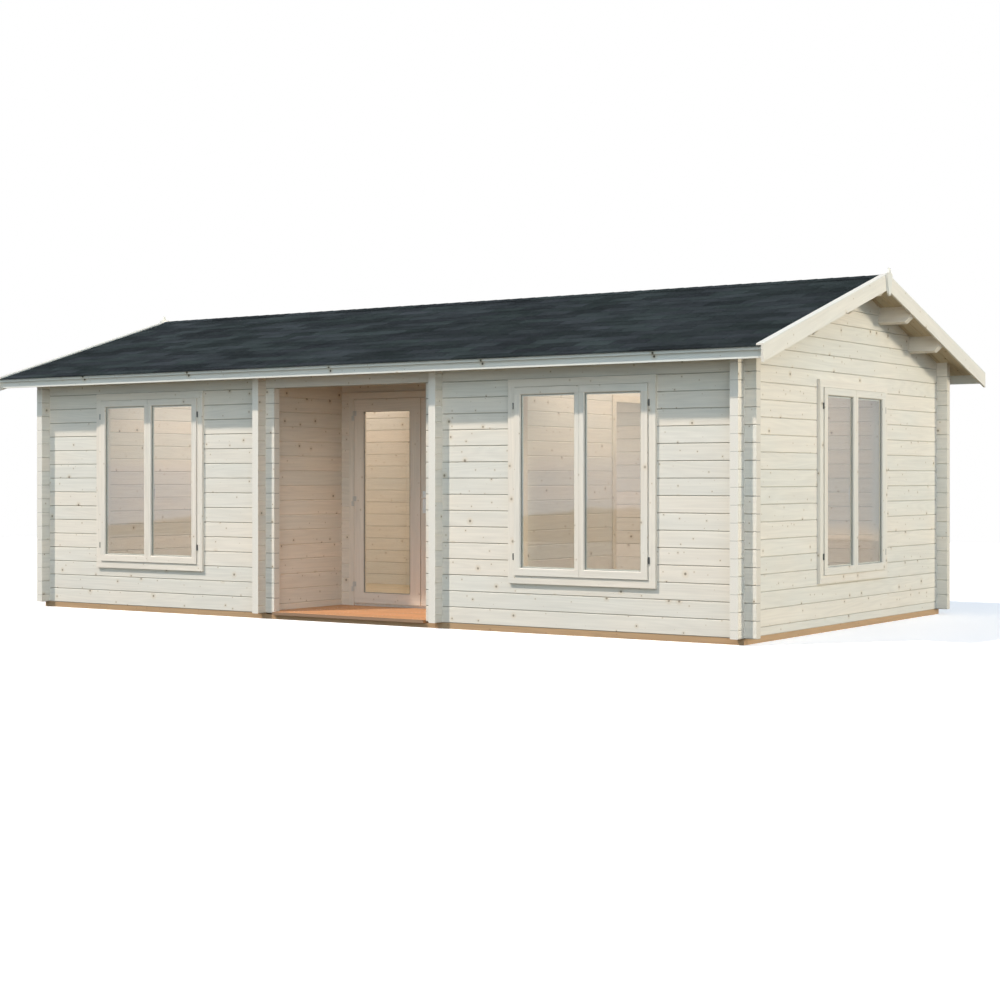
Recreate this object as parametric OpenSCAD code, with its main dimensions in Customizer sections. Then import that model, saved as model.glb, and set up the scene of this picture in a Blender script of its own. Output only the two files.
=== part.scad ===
// Log cottage with a recessed porch between two rooms and a low gable roof.
// X runs along the front, Y into the depth, Z up. The origin is on the ground, at the middle of the plan.

/* [Plan] */
// Length of the front wall over the outer faces of the gable walls
wall_l = 7590; // [6800:10:9000]
// Depth over the outer faces of the front and back walls
wall_d = 3930; // [3600:10:4600]
// Clear width of the porch recess
porch_w = 1875; // [1800:5:2200]
// Depth of the porch, from the front face to the outer face of the door wall
porch_d = 1065; // [900:5:1200]

/* [Logs] */
// Height of one log course
log_h = 133; // [126:1:140]
// Thickness of the logs
log_t = 70; // [60:1:80]
// Length of the log ends past a crossing wall
log_end = 100; // [70:5:130]
// Depth of the chamfer on each long edge of a log
log_groove = 6; // [2:0.5:9]
// Number of courses below the front beam
front_courses = 15; // [15:1:16]
// Height of the top plate above the last full course, at its outer face
plate_h = 105; // [80:1:130]

/* [Base and floors] */
// Height of the base beams
base_h = 50; // [40:1:80]
// Width of the base beams
base_w = 60; // [50:1:68]
// Thickness of the room floor boards
floor_t = 24; // [18:1:30]
// Width of a floor joist
joist_w = 45; // [35:1:60]
// Number of joists under each side room
joist_count = 5; // [3:1:7]
// Height of the porch deck over the underside of the walls
deck_rise = 15; // [5:1:25]
// Thickness of the deck boards
deck_t = 26; // [20:1:30]
// Overhang of the first deck board past the front face of the wall
deck_lip = 35; // [10:1:60]
// Number of deck boards
deck_boards = 9; // [7:1:11]
// Gap between deck boards and round them
deck_gap = 5; // [3:0.5:8]

/* [Roof] */
// Slope of the roof in degrees
roof_pitch = 17.25; // [14:0.25:20]
// Distance of the fascia's face from the front and back wall faces
eave_out = 282; // [200:2:360]
// Overhang of the roof past the gable walls, to the outer face of the barge boards
gable_out = 318; // [220:2:400]
// Thickness of the roof boards
roof_board_t = 19; // [15:1:25]
// Thickness of the roof covering
roofing_t = 8; // [5:1:12]
// Clearance between the layers of the roof
layer_gap = 0.2; // [0.1:0.1:0.5]
// Overhang of the roof covering past the eave lath
drip = 20; // [5:1:30]
// Width of the purlins
purlin_w = 56; // [40:1:70]
// Depth of the purlins
purlin_h = 140; // [110:1:160]
// Distance of the upper purlins from the ridge
purlin_upper = 611; // [500:1:700]
// Distance of the lower purlins from the ridge
purlin_lower = 1283; // [1150:1:1350]
// Size of the slanting cut under each purlin end
purlin_bevel = 59; // [20:1:90]
// Thickness of the fascia boards
fascia_t = 18; // [15:1:25]
// Height of the fascia boards
fascia_h = 95; // [80:1:120]
// Thickness of the lath in front of the fascia
lath_t = 25; // [15:1:35]
// Height of the lath in front of the fascia
lath_h = 28; // [20:1:40]
// Thickness of the barge boards
barge_t = 18; // [14:1:28]
// Width of the barge boards, square to the slope
barge_w = 117; // [100:1:140]
// Width of the edge strips that cover the barge boards and the edge of the roof covering
strip_w = 58; // [40:1:80]
// Thickness of the edge strips
strip_t = 12; // [8:1:20]
// Width of the finial boards at their shoulders
finial_w = 112; // [90:1:140]
// Width of the foot and of the spike of the finial boards
finial_foot = 44; // [30:1:60]
// Height of the finial boards
finial_h = 232; // [200:1:280]
// Thickness of the finial boards
finial_t = 18; // [12:1:25]
// Height of the finial tip over the edge strips
finial_rise = 44; // [30:1:70]

/* [Windows] */
// Width over the outer casing
window_w = 1367; // [1200:1:1450]
// Height over the outer casing
window_h = 1645; // [1400:1:1700]
// Face width of the casings
casing_w = 62; // [50:1:75]
// How far the casings lap over the wall
casing_lap = 30; // [20:1:40]
// How far the casings stand out from the wall
casing_out = 27; // [15:1:35]
// How far the sashes stand out from the casings
sash_out = 12; // [0:1:20]
// Thickness of the sashes
sash_t = 46; // [36:1:56]
// Width of the sash frames
sash_w = 62; // [50:1:70]
// Width of the two stiles that meet in the middle
sash_meet = 45; // [38:1:55]
// Gap round the sashes
sash_gap = 3; // [2:0.5:5]
// Thickness of the window and door glass
glass_t = 8; // [4:1:14]
// Depth of the groove that holds the glass
glass_groove = 9; // [6:1:12]
// Size of the bevel round the outer side of the glass
glass_bevel = 7; // [3:0.5:12]

/* [Door] */
// Width of one door leaf
leaf_w = 767; // [700:1:780]
// Height of the door leaves
leaf_h = 1887; // [1800:1:1890]
// Thickness of the door leaves
leaf_t = 44; // [38:1:50]
// Width of the stile on the hinge side
hinge_stile = 110; // [90:1:130]
// Width of the stile on the meeting side
lock_stile = 122; // [100:1:140]
// Width of the top rail
top_rail = 114; // [90:1:140]
// Width of the bottom rail
bottom_rail = 98; // [90:1:140]
// Gap round the leaves
leaf_gap = 5; // [5:0.5:7]
// Gap between the two leaves
meet_gap = 9; // [9:0.5:12]
// Height of the threshold
threshold_h = 36; // [25:1:45]
// Thickness of the door frame
jamb_t = 26; // [20:1:32]
// How far the door casings stand out from the wall
door_casing_out = 20; // [15:1:25]
// How far the hinge pins stand in front of the leaves
pin_out = 8; // [7:0.5:10]
// Height of the handle over the foot of the leaf
handle_z = 940; // [850:5:1050]
// Distance of the handle from the edge of the leaf
handle_in = 42; // [30:1:60]
// Width of the handle plates
handle_plate_w = 38; // [28:1:50]
// Height of the handle plates
handle_plate_h = 200; // [150:5:240]
// Thickness of the handle plates
handle_plate_t = 6; // [3:0.5:10]
// Diameter of the levers
lever_d = 16; // [12:1:20]
// Length of the levers
lever_l = 110; // [90:5:130]
// How far the levers stand out from the leaf
lever_out = 48; // [40:1:60]

/* [Hinges] */
// Radius of the door hinge knuckles
knuckle_r = 7; // [6:0.5:7]
// Height of each half of a door hinge
knuckle_h = 45; // [35:1:60]
// Radius of the door hinge pins
pin_r = 4; // [3:0.5:4.5]
// Radial clearance of the pins in the leaf knuckles
pin_clear = 0.1; // [0.05:0.05:0.3]
// Gap between the two halves of a door hinge
knuckle_gap = 0.3; // [0.2:0.1:1]
// Width of the hinge plates
plate_w = 28; // [20:1:40]
// Thickness of the hinge plates
plate_t = 3; // [2:0.5:4]
// Distance of the outer hinges from the ends of a leaf or sash
hinge_in = 150; // [120:5:200]
// Radius of the window hinges
window_hinge_r = 5.5; // [4:0.5:6]
// Height of the window hinges
window_hinge_h = 52; // [40:1:60]

/* [Doorway between the rooms] */
// Clear width of the doorway
pass_w = 850; // [700:5:900]
// Height of the doorway over the underside of the walls
pass_h = 1928; // [1850:1:1950]
// Distance from the doorway to the inner face of the back wall
pass_in = 211; // [120:1:500]

/* [Hidden] */

// Colours
spruce = "#e6e0d0";
spruce_shade = "#c9bda6";
deck_wood = "#dca06c";
base_wood = "#8a7458";
roof_dark = "#3c3f44";
pane = [0.75, 0.82, 0.85, 0.4];
steel = "#8d8f92";

// Plan lines
x_out = wall_l / 2;
y_out = wall_d / 2;
porch_x = porch_w / 2;
part_x = porch_x + log_t;
door_y = porch_d - y_out;
// Left faces of the four walls that run front to back
cross_x = [-x_out, -part_x, porch_x, x_out - log_t];
// Front faces of the three walls that run along the front
long_y = [-y_out, door_y, y_out - log_t];
all_cross = [0, 1, 2, 3];

// Heights over the ground
foot_z = base_h;
beam_z = foot_z + front_courses * log_h;
eave_z = beam_z + log_h + plate_h;
slope = tan(roof_pitch);
ridge_z = eave_z + y_out * slope;
half_depth = y_out + eave_out;
roof_edge = half_depth + lath_t + drip;
roof_x = x_out + gable_out - barge_t;
drop_t = 1 / cos(roof_pitch);
quarter = log_h / 4;
eps = 1;

// Height of the underside of the roof boards at a depth y
function roof_z(y) = ridge_z - abs(y) * slope;

// One side of a stack of logs, from a list of joint heights
function groove_points(x, depth, joints) = [for (z = joints) each [
    [x, z - log_groove], [x + depth, z], [x, z + log_groove]
]];

function reversed(list) = [for (i = [len(list) - 1:-1:0]) list[i]];

// Joints of a stack that starts at the base with a course of the given height
function joint_list(first, top) = [for (z = foot_z + first; z < top - 2 * log_groove; z = z + log_h) z];

// Cross section of a stack of logs, as a plan of thickness and height
module stack_section(first, bottom, top) {
    joints = [for (z = joint_list(first, top)) if (z > bottom + 2 * log_groove) z];
    polygon(concat(
        [[log_groove, bottom], [0, bottom + log_groove]],
        groove_points(0, log_groove, joints),
        [[0, top - log_groove], [log_groove, top], [log_t - log_groove, top], [log_t, top - log_groove]],
        reversed(groove_points(log_t, -log_groove, joints)),
        [[log_t, bottom + log_groove], [log_t - log_groove, bottom]]
    ));
}

// Turns a section of thickness and height into a wall along X
module along_x(x0, x1, y) {
    translate([x0, y, 0]) rotate([90, 0, 90]) linear_extrude(x1 - x0) children();
}

// Turns a section of thickness and height into a wall along Y
module along_y(y0, y1, x) {
    translate([x, y1, 0]) rotate([90, 0, 0]) linear_extrude(y1 - y0) children();
}

// Space under the roof boards, from x0 to x1
module under_roof(x0, x1) {
    reach = roof_edge + log_end;
    along_x(x0, x1, 0) polygon([
        [-reach, 0], [reach, 0], [reach, roof_z(reach)], [0, ridge_z], [-reach, roof_z(reach)]
    ]);
}

// Height above which a long wall passes whole through the cross walls
function plate_pass(y) =
    foot_z + quarter + log_h * floor((min(roof_z(y), roof_z(y + log_t)) - foot_z - quarter) / log_h);

// Notches where a wall along X gives way to the walls that cross it
module long_notches(y, crossed) {
    for (i = crossed, z = [foot_z:log_h:plate_pass(y)])
        translate([cross_x[i], y - eps, z - quarter]) cube([log_t, log_t + 2 * eps, 2 * quarter]);
}

// Notches where a wall along Y gives way to the walls that cross it, and to the plates over the last notch
module cross_notches(x, crossed) {
    for (i = crossed) {
        for (z = [foot_z + 2 * quarter:log_h:plate_pass(long_y[i])])
            translate([x - eps, long_y[i], z - quarter]) cube([log_t + 2 * eps, log_t, 2 * quarter]);
        translate([x - eps, long_y[i], plate_pass(long_y[i])])
            cube([log_t + 2 * eps, log_t, ridge_z]);
    }
}

// A long wall: a stack that starts with a whole course; crossed lists the cross walls that it meets
module long_wall(y, x0, x1, bottom, top, crossed) {
    difference() {
        along_x(x0, x1, y) stack_section(log_h, bottom, top);
        long_notches(y, crossed);
    }
}

// A cross wall: its stack starts with a half course and is cut by the roof and the purlins
module cross_wall(x, y0, y1, bottom, crossed) {
    difference() {
        intersection() {
            along_y(y0, y1, x) stack_section(log_h / 2, bottom, ridge_z);
            under_roof(x - eps, x + log_t + eps);
        }
        cross_notches(x, crossed);
        purlin_space();
        // Log ends outside the eaves walls stop at the last whole course
        for (y = [-y_out - 2 * log_end, y_out])
            translate([x - eps, y, foot_z + log_h * (front_courses + 1.5)])
                cube([log_t + 2 * eps, 2 * log_end, log_h * 2]);
    }
}

// Base
module base_beam_x(x0, x1, y) {
    translate([x0, y + (log_t - base_w) / 2, 0]) cube([x1 - x0, base_w, base_h]);
}

module base_beams() {
    side = part_x - (log_t - base_w) / 2;
    inset = (log_t - base_w) / 2;
    color(base_wood) {
        base_beam_x(-x_out + inset, -side, -y_out);
        base_beam_x(side, x_out - inset, -y_out);
        base_beam_x(-x_out + inset, x_out - inset, y_out - log_t);
        base_beam_x(-porch_x - inset, porch_x + inset, door_y);
    }
}

module base_cross_beams() {
    inset = (log_t - base_w) / 2;
    front = -y_out + inset + base_w;
    color(base_wood) {
        for (x = [cross_x[0], cross_x[3]])
            translate([x + inset, front, 0]) cube([base_w, wall_d - 2 * (inset + base_w), base_h]);
        for (x = [cross_x[1], cross_x[2]])
            translate([x + inset, -y_out + inset, 0]) cube([base_w, wall_d - 2 * inset - base_w, base_h]);
    }
}

// Floor joists run front to back between the base beams
module joist_row(x0, x1, y0, y1, count, height) {
    step = (x1 - x0) / count;
    for (i = [0:count - 1])
        translate([x0 + (i + 0.5) * step - joist_w / 2, y0, 0]) cube([joist_w, y1 - y0, height]);
}

module floor_joists() {
    inset = (log_t - base_w) / 2 + base_w;
    color(spruce_shade) {
        for (side = [-1, 1])
            joist_row(side > 0 ? part_x : -x_out + inset, side > 0 ? x_out - inset : -part_x,
                -y_out + inset, y_out - inset, joist_count, base_h);
        joist_row(-porch_x, porch_x, door_y + inset, y_out - inset, 3, base_h);
    }
}

// The floors are cut round the log ends at the inner corners of the porch
module corner_log_ends() {
    for (x = [-part_x - log_end, part_x])
        translate([x, door_y, foot_z - eps]) cube([log_end, log_t, floor_t + 2 * eps]);
    translate([-part_x, door_y, foot_z - eps]) cube([log_t, log_t + log_end, floor_t + 2 * eps]);
}

module room_floors() {
    room_l = x_out - log_t - part_x;
    color(spruce_shade) difference() {
        for (x = [-x_out + log_t, part_x])
            translate([x, -y_out + log_t, foot_z]) cube([room_l, wall_d - 2 * log_t, floor_t]);
        corner_log_ends();
    }
}

module hall_floor() {
    color(spruce_shade) difference() {
        translate([-part_x, door_y + log_t, foot_z])
            cube([part_x + porch_x, y_out - door_y - 2 * log_t, floor_t]);
        corner_log_ends();
    }
}

// Porch deck
deck_z = foot_z + deck_rise - deck_t;

module deck_joists() {
    color(base_wood) {
        joist_row(-porch_x, porch_x, -y_out + base_w, door_y, 4, deck_z);
        translate([-porch_x, -y_out, 0]) cube([porch_w, base_w, deck_z]);
    }
}

module deck_planks() {
    y0 = -y_out - deck_lip;
    pitch = (door_y - y0) / deck_boards;
    color(deck_wood) for (i = [0:deck_boards - 1]) {
        y = y0 + i * pitch;
        half = y < -y_out + log_t ? porch_x - log_end : porch_x;
        translate([-half + deck_gap, y, deck_z]) cube([2 * (half - deck_gap), pitch - deck_gap, deck_t]);
    }
}

// Walls
module window_hole(w = window_w, h = window_h) {
    translate([-w / 2 + casing_lap, -log_t, casing_lap])
        cube([w - 2 * casing_lap, 3 * log_t, h - 2 * casing_lap]);
}

window_z = beam_z - window_h;
window_x = (part_x + x_out - log_t) / 2;

module front_wall(side) {
    mid = side * window_x;
    color(spruce) difference() {
        long_wall(-y_out, side > 0 ? porch_x - log_end : -x_out - log_end,
            side > 0 ? x_out + log_end : -porch_x + log_end, foot_z, beam_z, all_cross);
        translate([mid, -y_out, window_z]) window_hole();
    }
}

module front_wall_left() { front_wall(-1); }

module front_wall_right() { front_wall(1); }

// A long wall that reaches up to the roof boards, its top log cut to the slope
module roof_cut_wall(y, x0, x1, bottom, crossed) {
    intersection() {
        long_wall(y, x0, x1, bottom, max(roof_z(y), roof_z(y + log_t)) + log_h, crossed);
        under_roof(x0 - eps, x1 + eps);
    }
}

module front_beam() {
    color(spruce) roof_cut_wall(-y_out, -x_out - log_end, x_out + log_end, beam_z, all_cross);
}

module back_wall() {
    color(spruce) roof_cut_wall(y_out - log_t, -x_out - log_end, x_out + log_end, foot_z, [0, 2, 3]);
}

module gable_wall_left() {
    color(spruce) cross_wall(cross_x[0], -y_out - log_end, y_out + log_end, foot_z, [0, 2]);
}

module gable_wall_right() {
    color(spruce) difference() {
        cross_wall(cross_x[3], -y_out - log_end, y_out + log_end, foot_z, [0, 2]);
        translate([x_out, 0, window_z]) rotate([0, 0, 90]) window_hole();
    }
}

module porch_wall_left() {
    color(spruce) cross_wall(cross_x[1], -y_out - log_end, door_y + log_t + log_end, foot_z, [0, 1]);
}

pass_back = y_out - log_t - pass_in;
pass_front = pass_back - pass_w;
pass_top = foot_z + pass_h;

module porch_wall_right() {
    color(spruce) cross_wall(cross_x[2], -y_out - log_end, pass_front - jamb_t, foot_z, [0, 1]);
}

module partition_rear() {
    color(spruce) cross_wall(cross_x[2], pass_back + jamb_t, y_out + log_end, foot_z, [2]);
}

module partition_head() {
    color(spruce) cross_wall(cross_x[2], pass_front - jamb_t, pass_back + jamb_t, pass_top + jamb_t, []);
}

// Door wall, split beside and over the doorway
door_half = leaf_w + meet_gap / 2 + leaf_gap + jamb_t;
leaf_z = foot_z + threshold_h + leaf_gap;
door_top = leaf_z + leaf_h + leaf_gap + jamb_t;

module door_wall_left() {
    color(spruce) roof_cut_wall(door_y, -part_x - log_end, -door_half, foot_z, [1]);
}

module door_wall_right() {
    color(spruce) roof_cut_wall(door_y, door_half, part_x + log_end, foot_z, [2]);
}

module door_wall_head() {
    color(spruce) roof_cut_wall(door_y, -door_half, door_half, door_top, []);
}

// Roof: the purlins lie square to the slope, their ends cut slanting from below
module purlin_bar(top = 0) {
    low = -purlin_h;
    rotate([90, 0, 0]) translate([0, 0, -purlin_w / 2]) linear_extrude(purlin_w) polygon([
        [-roof_x, top], [-roof_x, low + purlin_bevel], [purlin_bevel - roof_x, low],
        [roof_x - purlin_bevel, low], [roof_x, low + purlin_bevel], [roof_x, top]
    ]);
}

module purlin(y) {
    translate([0, y, roof_z(y)]) rotate([-sign(y) * roof_pitch, 0, 0]) purlin_bar();
}

module ridge_bar() {
    intersection() {
        translate([0, 0, ridge_z]) purlin_bar(purlin_w);
        under_roof(-roof_x, roof_x);
    }
}

side_purlin_rows = [-purlin_lower, -purlin_upper, purlin_upper, purlin_lower];

module purlin_space() {
    for (y = side_purlin_rows) purlin(y);
    ridge_bar();
}

module ridge_purlin() {
    color(spruce) ridge_bar();
}

module side_purlins() {
    color(spruce) for (y = side_purlin_rows) purlin(y);
}

// A layer of the roof on one side, between two heights over the underside of the boards
module roof_layer(side, low, high, edge, x_end) {
    low_z = low * drop_t;
    high_z = high * drop_t;
    mirror([0, side > 0 ? 1 : 0, 0]) along_x(-x_end, x_end, 0) polygon([
        [0, ridge_z + low_z], [0, ridge_z + high_z],
        [-edge, roof_z(edge) + high_z], [-edge, roof_z(edge) + low_z]
    ]);
}

boards_low = layer_gap;
boards_high = boards_low + roof_board_t;
cover_low = boards_high + layer_gap;
cover_high = cover_low + roofing_t;
strip_low = cover_high + layer_gap;
strip_high = strip_low + strip_t;

module roof_boards_front() {
    color(spruce_shade) roof_layer(-1, boards_low, boards_high, half_depth - fascia_t, roof_x);
}

module roof_boards_back() {
    color(spruce_shade) roof_layer(1, boards_low, boards_high, half_depth - fascia_t, roof_x);
}

module roofing_front() {
    color(roof_dark) roof_layer(-1, cover_low, cover_high, roof_edge, roof_x);
}

module roofing_back() {
    color(roof_dark) roof_layer(1, cover_low, cover_high, roof_edge, roof_x);
}

// Each fascia has a lath along its top that carries the edge of the covering
module fascia_boards() {
    inner = half_depth - fascia_t;
    outer = half_depth + lath_t;
    lift = boards_high * drop_t;
    bottom = roof_z(half_depth) + lift - fascia_h;
    lath_bottom = roof_z(outer) + lift - lath_h;
    color(spruce) for (side = [-1, 1])
        mirror([0, side > 0 ? 1 : 0, 0]) along_x(-roof_x, roof_x, 0) polygon([
            [-inner, bottom], [-inner, roof_z(inner) + lift], [-outer, roof_z(outer) + lift],
            [-outer, lath_bottom], [-half_depth, lath_bottom], [-half_depth, bottom]
        ]);
}

// Boards along the gable edges, one pair at each end, between two heights square to the slope
module gable_pair(x0, x1, low, high) {
    mitre = 0.5;
    for (side = [-1, 1])
        mirror([0, side > 0 ? 1 : 0, 0]) along_x(x0, x1, 0) polygon([
            [-mitre, ridge_z + high * drop_t], [-mitre, ridge_z + low * drop_t],
            [-roof_edge, roof_z(roof_edge) + low * drop_t], [-roof_edge, roof_z(roof_edge) + high * drop_t]
        ]);
}

module barge_boards_left() {
    color(spruce) gable_pair(-roof_x - barge_t, -roof_x, cover_high - barge_w, cover_high);
}

module barge_boards_right() {
    color(spruce) gable_pair(roof_x, roof_x + barge_t, cover_high - barge_w, cover_high);
}

module edge_strips() {
    outer = roof_x + barge_t;
    color(spruce) {
        gable_pair(-outer, strip_w - outer, strip_low, strip_high);
        gable_pair(outer - strip_w, outer, strip_low, strip_high);
    }
}

// Finials: a tapered board with a spike between two hollow shoulders
module finial_outline() {
    half = finial_w / 2;
    foot = finial_foot / 2;
    tip = foot / 3;
    shoulder = half - tip;
    difference() {
        polygon([
            [tip, 0], [half, -shoulder], [foot, foot - finial_h], [0, -finial_h], [-foot, foot - finial_h],
            [-half, -shoulder], [-tip, 0]
        ]);
        for (side = [-1, 1]) translate([side * half, 0]) circle(r = shoulder, $fn = 48);
    }
}

module finials() {
    top = ridge_z + strip_high * drop_t + finial_rise;
    outer = roof_x + barge_t;
    color(spruce) for (x = [-outer - finial_t, outer])
        translate([x, 0, top]) rotate([90, 0, 90]) linear_extrude(finial_t) finial_outline();
}

// A rectangular ring: width along X, height along Z, from y0 to y1
module ring(w, h, border, y0, y1) {
    difference() {
        translate([-w / 2, y0, 0]) cube([w, y1 - y0, h]);
        translate([-w / 2 + border, y0 - eps, border])
            cube([w - 2 * border, y1 - y0 + 2 * eps, h - 2 * border]);
    }
}

// Bevel round an opening of width w and height h, its lower left corner at x, z, cut into an outer face
module bevel_cut(x, z, w, h, face) {
    wide = glass_bevel + eps;
    deep = face + glass_bevel;
    intersection() {
        translate([0, 0, z - wide]) linear_extrude(h + 2 * wide) polygon([
            [x - wide, face - eps], [x + w + wide, face - eps], [x + w, deep], [x, deep]
        ]);
        along_x(x - wide, x + w + wide, 0) polygon([
            [face - eps, z - wide], [deep, z], [deep, z + h], [face - eps, z + h + wide]
        ]);
    }
}

// Places a window at one of the three openings
module at_window(place) {
    if (place == "left") translate([-window_x, -y_out, window_z]) children();
    if (place == "right") translate([window_x, -y_out, window_z]) children();
    if (place == "gable") translate([x_out, 0, window_z]) rotate([0, 0, 90]) children();
}

sash_front = -casing_out - sash_out;
sash_back = sash_front + sash_t;

module window_frame(place) {
    lining_w = window_w - 2 * casing_lap;
    lining_h = window_h - 2 * casing_lap;
    lip = casing_w - casing_lap;
    stop = lip + 16;
    inner_casing = 14;
    color(spruce) at_window(place) union() {
        ring(window_w, window_h, casing_w, -casing_out, 0);
        translate([0, 0, casing_lap]) ring(lining_w, lining_h, lip, 0, sash_back);
        translate([0, 0, casing_lap]) ring(lining_w, lining_h, stop, sash_back, log_t);
        ring(window_w, window_h, casing_lap + stop, log_t, log_t + inner_casing);
    }
}

sash_w_all = window_w - 2 * casing_w - 2 * sash_gap;
sash_h_all = window_h - 2 * casing_w - 2 * sash_gap;
one_sash_w = (sash_w_all - sash_gap) / 2;
pane_w = one_sash_w - sash_w - sash_meet;
pane_h = sash_h_all - 2 * sash_w;

// One sash, seen from outside, with its hinge stile on the left
module sash() {
    difference() {
        translate([0, sash_front, 0]) cube([one_sash_w, sash_t, sash_h_all]);
        translate([sash_w, sash_front - eps, sash_w]) cube([pane_w, sash_t + 2 * eps, pane_h]);
        bevel_cut(sash_w, sash_w, pane_w, pane_h, sash_front);
        translate([sash_w - glass_groove, (sash_front + sash_back - glass_t) / 2, sash_w - glass_groove])
            cube([pane_w + 2 * glass_groove, glass_t, pane_h + 2 * glass_groove]);
    }
}

module sash_pair() {
    for (side = [-1, 1])
        mirror([side > 0 ? 1 : 0, 0, 0]) translate([-sash_w_all / 2, 0, casing_w + sash_gap]) children();
}

module window_sashes(place) {
    color(spruce) at_window(place) sash_pair() sash();
}

module window_glass(place) {
    color(pane) at_window(place) sash_pair()
        translate([sash_w - glass_groove, (sash_front + sash_back - glass_t) / 2, sash_w - glass_groove])
            cube([pane_w + 2 * glass_groove, glass_t, pane_h + 2 * glass_groove]);
}

module window_frame_left() { window_frame("left"); }
module window_frame_right() { window_frame("right"); }
module window_frame_gable() { window_frame("gable"); }
module window_sashes_left() { window_sashes("left"); }
module window_sashes_right() { window_sashes("right"); }
module window_sashes_gable() { window_sashes("gable"); }
module window_glass_left() { window_glass("left"); }
module window_glass_right() { window_glass("right"); }
module window_glass_gable() { window_glass("gable"); }

// Door frame: jambs and head through the wall, casings on both faces, a stop and a threshold
leaf_front = door_y - door_casing_out;
leaf_back = leaf_front + leaf_t;
inner_casing_t = 14;

module door_ring(clear_w, clear_h, border, y0, y1) {
    difference() {
        translate([-clear_w / 2 - border, y0, foot_z]) cube([clear_w + 2 * border, y1 - y0, clear_h + border]);
        translate([-clear_w / 2, y0 - eps, foot_z - eps]) cube([clear_w, y1 - y0 + 2 * eps, clear_h + eps]);
    }
}

module door_frame() {
    clear_w = 2 * (door_half - jamb_t);
    clear_h = door_top - jamb_t - foot_z;
    stop = 14;
    depth_in = door_y + log_t + inner_casing_t;
    color(spruce) union() {
        difference() {
            door_ring(clear_w, clear_h, jamb_t + casing_lap, leaf_front, door_y);
            // The outer casing stands on the deck
            translate([-clear_w, leaf_front - eps, foot_z - eps])
                cube([2 * clear_w, door_casing_out + eps, deck_rise + eps]);
        }
        door_ring(clear_w, clear_h, jamb_t, door_y, door_y + log_t);
        door_ring(clear_w - 2 * stop, clear_h - stop, jamb_t + stop, leaf_back + leaf_gap, door_y + log_t);
        difference() {
            door_ring(clear_w - 2 * stop, clear_h - stop, jamb_t + stop + casing_lap, door_y + log_t, depth_in);
            translate([-clear_w, door_y, foot_z - eps]) cube([2 * clear_w, log_t + log_h, floor_t + eps]);
        }
        translate([-clear_w / 2, door_y, foot_z]) cube([clear_w, log_t, threshold_h]);
    }
}

module passage_frame() {
    x0 = porch_x - inner_casing_t;
    x1 = part_x + inner_casing_t;
    color(spruce) difference() {
        union() {
            translate([porch_x, pass_front - jamb_t, foot_z])
                cube([log_t, pass_w + 2 * jamb_t, pass_h + jamb_t]);
            for (x = [x0, part_x])
                translate([x, pass_front - casing_w, foot_z + floor_t])
                    cube([inner_casing_t, pass_w + 2 * casing_w, pass_h + casing_w - floor_t]);
        }
        translate([x0 - eps, pass_front, foot_z + floor_t])
            cube([x1 - x0 + 2 * eps, pass_w, pass_h - floor_t]);
    }
}

// Door leaves, drawn as the left one with its hinge on the left
leaf_pane_w = leaf_w - hinge_stile - lock_stile;
leaf_pane_h = leaf_h - bottom_rail - top_rail;

module leaf() {
    translate([-meet_gap / 2 - leaf_w, leaf_front, leaf_z]) difference() {
        cube([leaf_w, leaf_t, leaf_h]);
        translate([hinge_stile, -eps, bottom_rail]) cube([leaf_pane_w, leaf_t + 2 * eps, leaf_pane_h]);
        bevel_cut(hinge_stile, bottom_rail, leaf_pane_w, leaf_pane_h, 0);
        leaf_glass();
    }
}

module leaf_glass() {
    translate([hinge_stile - glass_groove, (leaf_t - glass_t) / 2, bottom_rail - glass_groove])
        cube([leaf_pane_w + 2 * glass_groove, glass_t, leaf_pane_h + 2 * glass_groove]);
}

module door_leaf_left() { color(spruce) leaf(); }

module door_leaf_right() { color(spruce) mirror([1, 0, 0]) leaf(); }

module door_glass_left() {
    color(pane) translate([-meet_gap / 2 - leaf_w, leaf_front, leaf_z]) leaf_glass();
}

module door_glass_right() {
    color(pane) mirror([1, 0, 0]) translate([-meet_gap / 2 - leaf_w, leaf_front, leaf_z]) leaf_glass();
}

// Lever handle with a long plate, outside and inside the right leaf
module door_handle() {
    x = meet_gap / 2 + handle_in;
    lever_z = leaf_z + handle_z + handle_plate_h / 5;
    spindle = lever_d / 2;
    color(steel) for (face = [[leaf_front, -1], [leaf_back, 1]]) {
        dir = face[1];
        lever_y = face[0] + dir * (lever_out - lever_d / 2);
        union() {
            translate([x - handle_plate_w / 2, face[0], leaf_z + handle_z - handle_plate_h / 2])
                mirror([0, dir < 0 ? 1 : 0, 0]) cube([handle_plate_w, handle_plate_t, handle_plate_h]);
            translate([x, face[0], lever_z]) rotate([dir * -90, 0, 0])
                cylinder(r = spindle, h = lever_out - lever_d / 2, $fn = 24);
            translate([x, lever_y, lever_z]) rotate([0, 90, 0]) cylinder(r = spindle, h = lever_l, $fn = 24);
            translate([x, lever_y, lever_z]) sphere(r = spindle, $fn = 24);
        }
    }
}

// Lift-off hinges: the lower half with the pin is on the frame, the upper half hangs on the leaf
pin_x = leaf_w + meet_gap / 2 + leaf_gap / 2;
hinge_heights = [leaf_z + hinge_in, leaf_z + leaf_h / 2, leaf_z + leaf_h - hinge_in];

module hinge_half(side, low) {
    translate([0, 0, low]) cylinder(r = knuckle_r, h = knuckle_h, $fn = 32);
    translate([side > 0 ? 0 : -plate_w, pin_out - plate_t, low]) cube([plate_w, plate_t, knuckle_h]);
}

module at_pins() {
    for (z = hinge_heights) translate([-pin_x, leaf_front - pin_out, z]) children();
}

module frame_hinges() {
    at_pins() union() {
        hinge_half(-1, -knuckle_h);
        cylinder(r = pin_r, h = knuckle_h * 0.8, $fn = 32);
    }
}

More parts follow.
